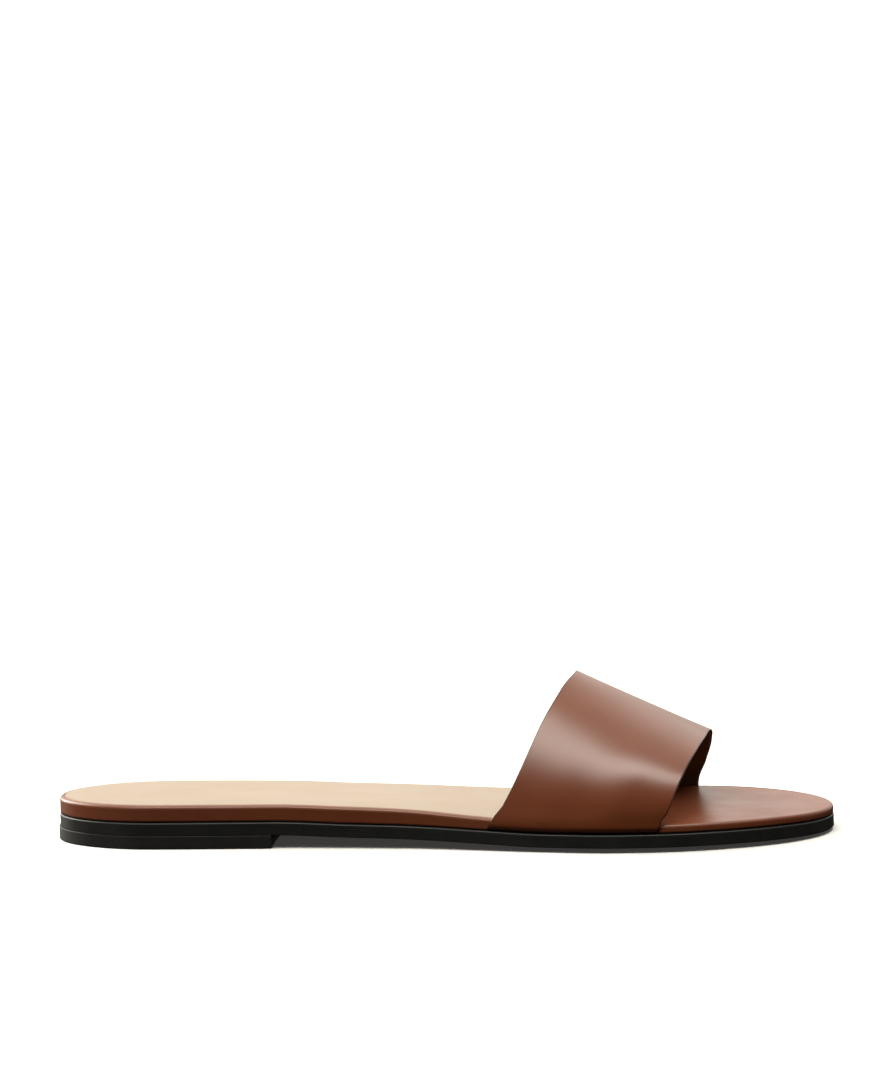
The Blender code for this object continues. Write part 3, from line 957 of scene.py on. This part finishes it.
def make_camera():
    """The camera where the photograph was taken from."""
    scene = bpy.context.scene
    back = Vector((math.sin(VIEW_AZIMUTH) * math.cos(VIEW_ELEVATION),
                   -math.cos(VIEW_AZIMUTH) * math.cos(VIEW_ELEVATION),
                   math.sin(VIEW_ELEVATION)))
    right = Vector((math.cos(VIEW_AZIMUTH), math.sin(VIEW_AZIMUTH), 0.0))
    up = back.cross(right)
    rolled_right = right * math.cos(VIEW_ROLL) - up * math.sin(VIEW_ROLL)
    rolled_up = right * math.sin(VIEW_ROLL) + up * math.cos(VIEW_ROLL)
    focal = PIXELS_PER_METRE * VIEW_DISTANCE
    to_origin = Vector(((ORIGIN_PIXEL[0] - 0.5 * FRAME_WIDTH) / focal,
                        -(ORIGIN_PIXEL[1] - 0.5 * FRAME_HEIGHT) / focal, -1.0)).normalized()
    facing = Matrix((rolled_right, rolled_up, back)).transposed()
    turned = to_origin.rotation_difference(Vector((0.0, 0.0, -1.0))).to_matrix()
    data = bpy.data.cameras.new("photo_camera")
    data.sensor_width = SENSOR
    data.sensor_fit = "AUTO"
    data.lens = focal * SENSOR / FRAME_HEIGHT
    data.clip_start = 0.01
    data.clip_end = 100.0
    camera = bpy.data.objects.new("photo_camera", data)
    camera.matrix_world = Matrix.Translation(back * VIEW_DISTANCE) @ (facing @ turned).to_4x4()
    scene.collection.objects.link(camera)
    scene.camera = camera


def dome_light():
    """The studio dome as a node group: how bright it is in each direction."""
    nodes, given, made = group_tree(
        "Studio dome",
        (("Direction", "NodeSocketVector", (0.0, 0.0, 1.0)),),
        (("Glow", "NodeSocketFloat"),))
    parts = nodes.add("ShaderNodeSeparateXYZ", {0: given.outputs["Direction"]})
    front = nodes.add("ShaderNodeMath", {0: parts.outputs["Y"], 1: -1.0}, operation="MULTIPLY")
    turn = nodes.add("ShaderNodeMath", {0: parts.outputs["Z"], 1: front.outputs[0]},
                     operation="ARCTAN2")
    share = nodes.add("ShaderNodeMath", {0: turn.outputs[0], 1: math.pi}, operation="DIVIDE")
    ramp = nodes.add("ShaderNodeValToRGB", {"Fac": share.outputs[0]})
    brightest = max(row["glow"] for row in DOME)
    stops = ramp.color_ramp.elements
    while len(stops) < len(DOME):
        stops.new(0.5)
    for stop, row in zip(stops, DOME):
        stop.position = row["round"] / 180.0
        stop.color = (*([row["glow"] / brightest] * 3), 1.0)
    dome = nodes.add("ShaderNodeMath", {0: ramp.outputs["Color"], 1: brightest},
                     operation="MULTIPLY")

    def window(value, low, high, edge):
        """1 between low and high and 0 outside them, over soft edges."""
        up = nodes.add("ShaderNodeMapRange", {"Value": value, "From Min": low - edge,
                                              "From Max": low + edge})
        down = nodes.add("ShaderNodeMapRange", {"Value": value, "From Min": high - edge,
                                                "From Max": high + edge,
                                                "To Min": 1.0, "To Max": 0.0})
        return nodes.add("ShaderNodeMath", {0: up.outputs["Result"],
                                            1: down.outputs["Result"]},
                         operation="MULTIPLY")

    side = nodes.add("ShaderNodeMath", {0: parts.outputs["X"]}, operation="ARCSINE")
    degree = 1.0 / 180.0
    tilted = nodes.add("ShaderNodeMath", {0: side.outputs[0], 1: -SOFTBOX["tilt"] / math.pi,
                                          2: share.outputs[0]}, operation="MULTIPLY_ADD")
    lit = window(tilted.outputs[0], SOFTBOX["from"] * degree, SOFTBOX["to"] * degree,
                 SOFTBOX["edge"] * degree)
    across = window(side.outputs[0], math.radians(SOFTBOX["left"]),
                    math.radians(SOFTBOX["right"]), math.radians(SOFTBOX["side_edge"]))
    panel = nodes.add("ShaderNodeMath", {0: lit.outputs[0], 1: across.outputs[0]},
                      operation="MULTIPLY")
    shade = nodes.add("ShaderNodeMapRange", {"Value": side.outputs[0],
                                             "From Min": math.radians(TOE_SHADE["from"]),
                                             "From Max": math.radians(TOE_SHADE["to"]),
                                             "To Min": 1.0, "To Max": TOE_SHADE["left_over"]})
    shaded = nodes.add("ShaderNodeMath", {0: dome.outputs[0], 1: shade.outputs["Result"]},
                       operation="MULTIPLY")
    softbox = nodes.add("ShaderNodeMath", {0: panel.outputs[0], 1: SOFTBOX["glow"],
                                           2: shaded.outputs[0]}, operation="MULTIPLY_ADD")
    heelwards = nodes.add("ShaderNodeMath", {0: side.outputs[0], 1: -1.0},
                          operation="MULTIPLY")
    heel = window(heelwards.outputs[0], math.radians(HEEL_LIGHT["from"]),
                  math.radians(HEEL_LIGHT["to"]), math.radians(HEEL_LIGHT["edge"]))
    high = nodes.add("ShaderNodeMapRange", {"Value": share.outputs[0],
                                            "From Min": HEEL_LIGHT["high_from"] * degree,
                                            "From Max": HEEL_LIGHT["high_to"] * degree,
                                            "To Max": HEEL_LIGHT["high"]})
    lights = nodes.add("ShaderNodeMath", {0: high.outputs["Result"], 1: heel.outputs[0],
                                          2: softbox.outputs[0]}, operation="MULTIPLY_ADD")
    above = nodes.add("ShaderNodeMapRange", {"Value": parts.outputs["Z"], "From Min": -HORIZON,
                                             "From Max": HORIZON})
    low = nodes.add("ShaderNodeMath", {0: heel.outputs[0], 1: HEEL_LIGHT["low"],
                                       2: UNDER_GLOW}, operation="MULTIPLY_ADD")
    glow = nodes.add("ShaderNodeMath", {0: lights.outputs[0], 1: above.outputs["Result"],
                                        2: low.outputs[0]}, operation="MULTIPLY_ADD")
    nodes.link(glow.outputs[0], made.inputs["Glow"])
    return nodes.tree


def make_studio_light():
    """Light the sandal from the dome, and show the camera a plain white backdrop."""
    world = bpy.data.worlds.new("studio")
    bpy.context.scene.world = world
    world.use_nodes = True
    nodes = Nodes(world.node_tree)
    shader = world.node_tree.nodes["Background"]
    place = nodes.add("ShaderNodeTexCoord").outputs["Generated"]
    dome = nodes.add("ShaderNodeGroup", node_tree=dome_light())
    nodes.link(place, dome.inputs["Direction"])
    path = nodes.add("ShaderNodeLightPath")
    seen = nodes.add("ShaderNodeMix", {"Factor": path.outputs["Is Camera Ray"],
                                       "A": dome.outputs["Glow"], "B": BACKDROP_GLOW},
                     data_type="FLOAT")
    nodes.link(seen.outputs["Result"], shader.inputs["Strength"])
    tint = nodes.add("ShaderNodeMix", {"Factor": path.outputs["Is Camera Ray"],
                                       "A": LIGHT_TINT, "B": (1.0, 1.0, 1.0, 1.0)},
                     data_type="RGBA")
    nodes.link(tint.outputs["Result"], shader.inputs["Color"])


def dress():
    """Build every piece, give it its finish and put it in the place of its solid."""
    groups = {"grain": leather_grain(), "dye": uneven_dye(), "edge": wear_and_painted_light_mask()}
    room = make_room()
    pieces = (
        (make_outsole(), "black_sole_leather", "outsole"),
        (make_heel_lift(), "black_heel_rubber", "heel_lift"),
        (make_footbed(room), "brown_wrap_leather", "footbed"),
        (make_sock_liner(room), "beige_sock_leather", "sock_liner"),
        (make_strap_leather(), "brown_strap_leather", "strap"),
        (make_strap_lining(), "brown_lining_leather", "strap"),
    )
    bpy.data.objects.remove(room, do_unlink=True)
    for piece, look, node in pieces:
        piece.data.materials.clear()
        piece.data.materials.append(finish(look, groups))
        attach(piece, "root")
        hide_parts(node)


bpy.context.scene.view_settings.view_transform = "Standard"
make_camera()
make_floor()
make_studio_light()
dress()
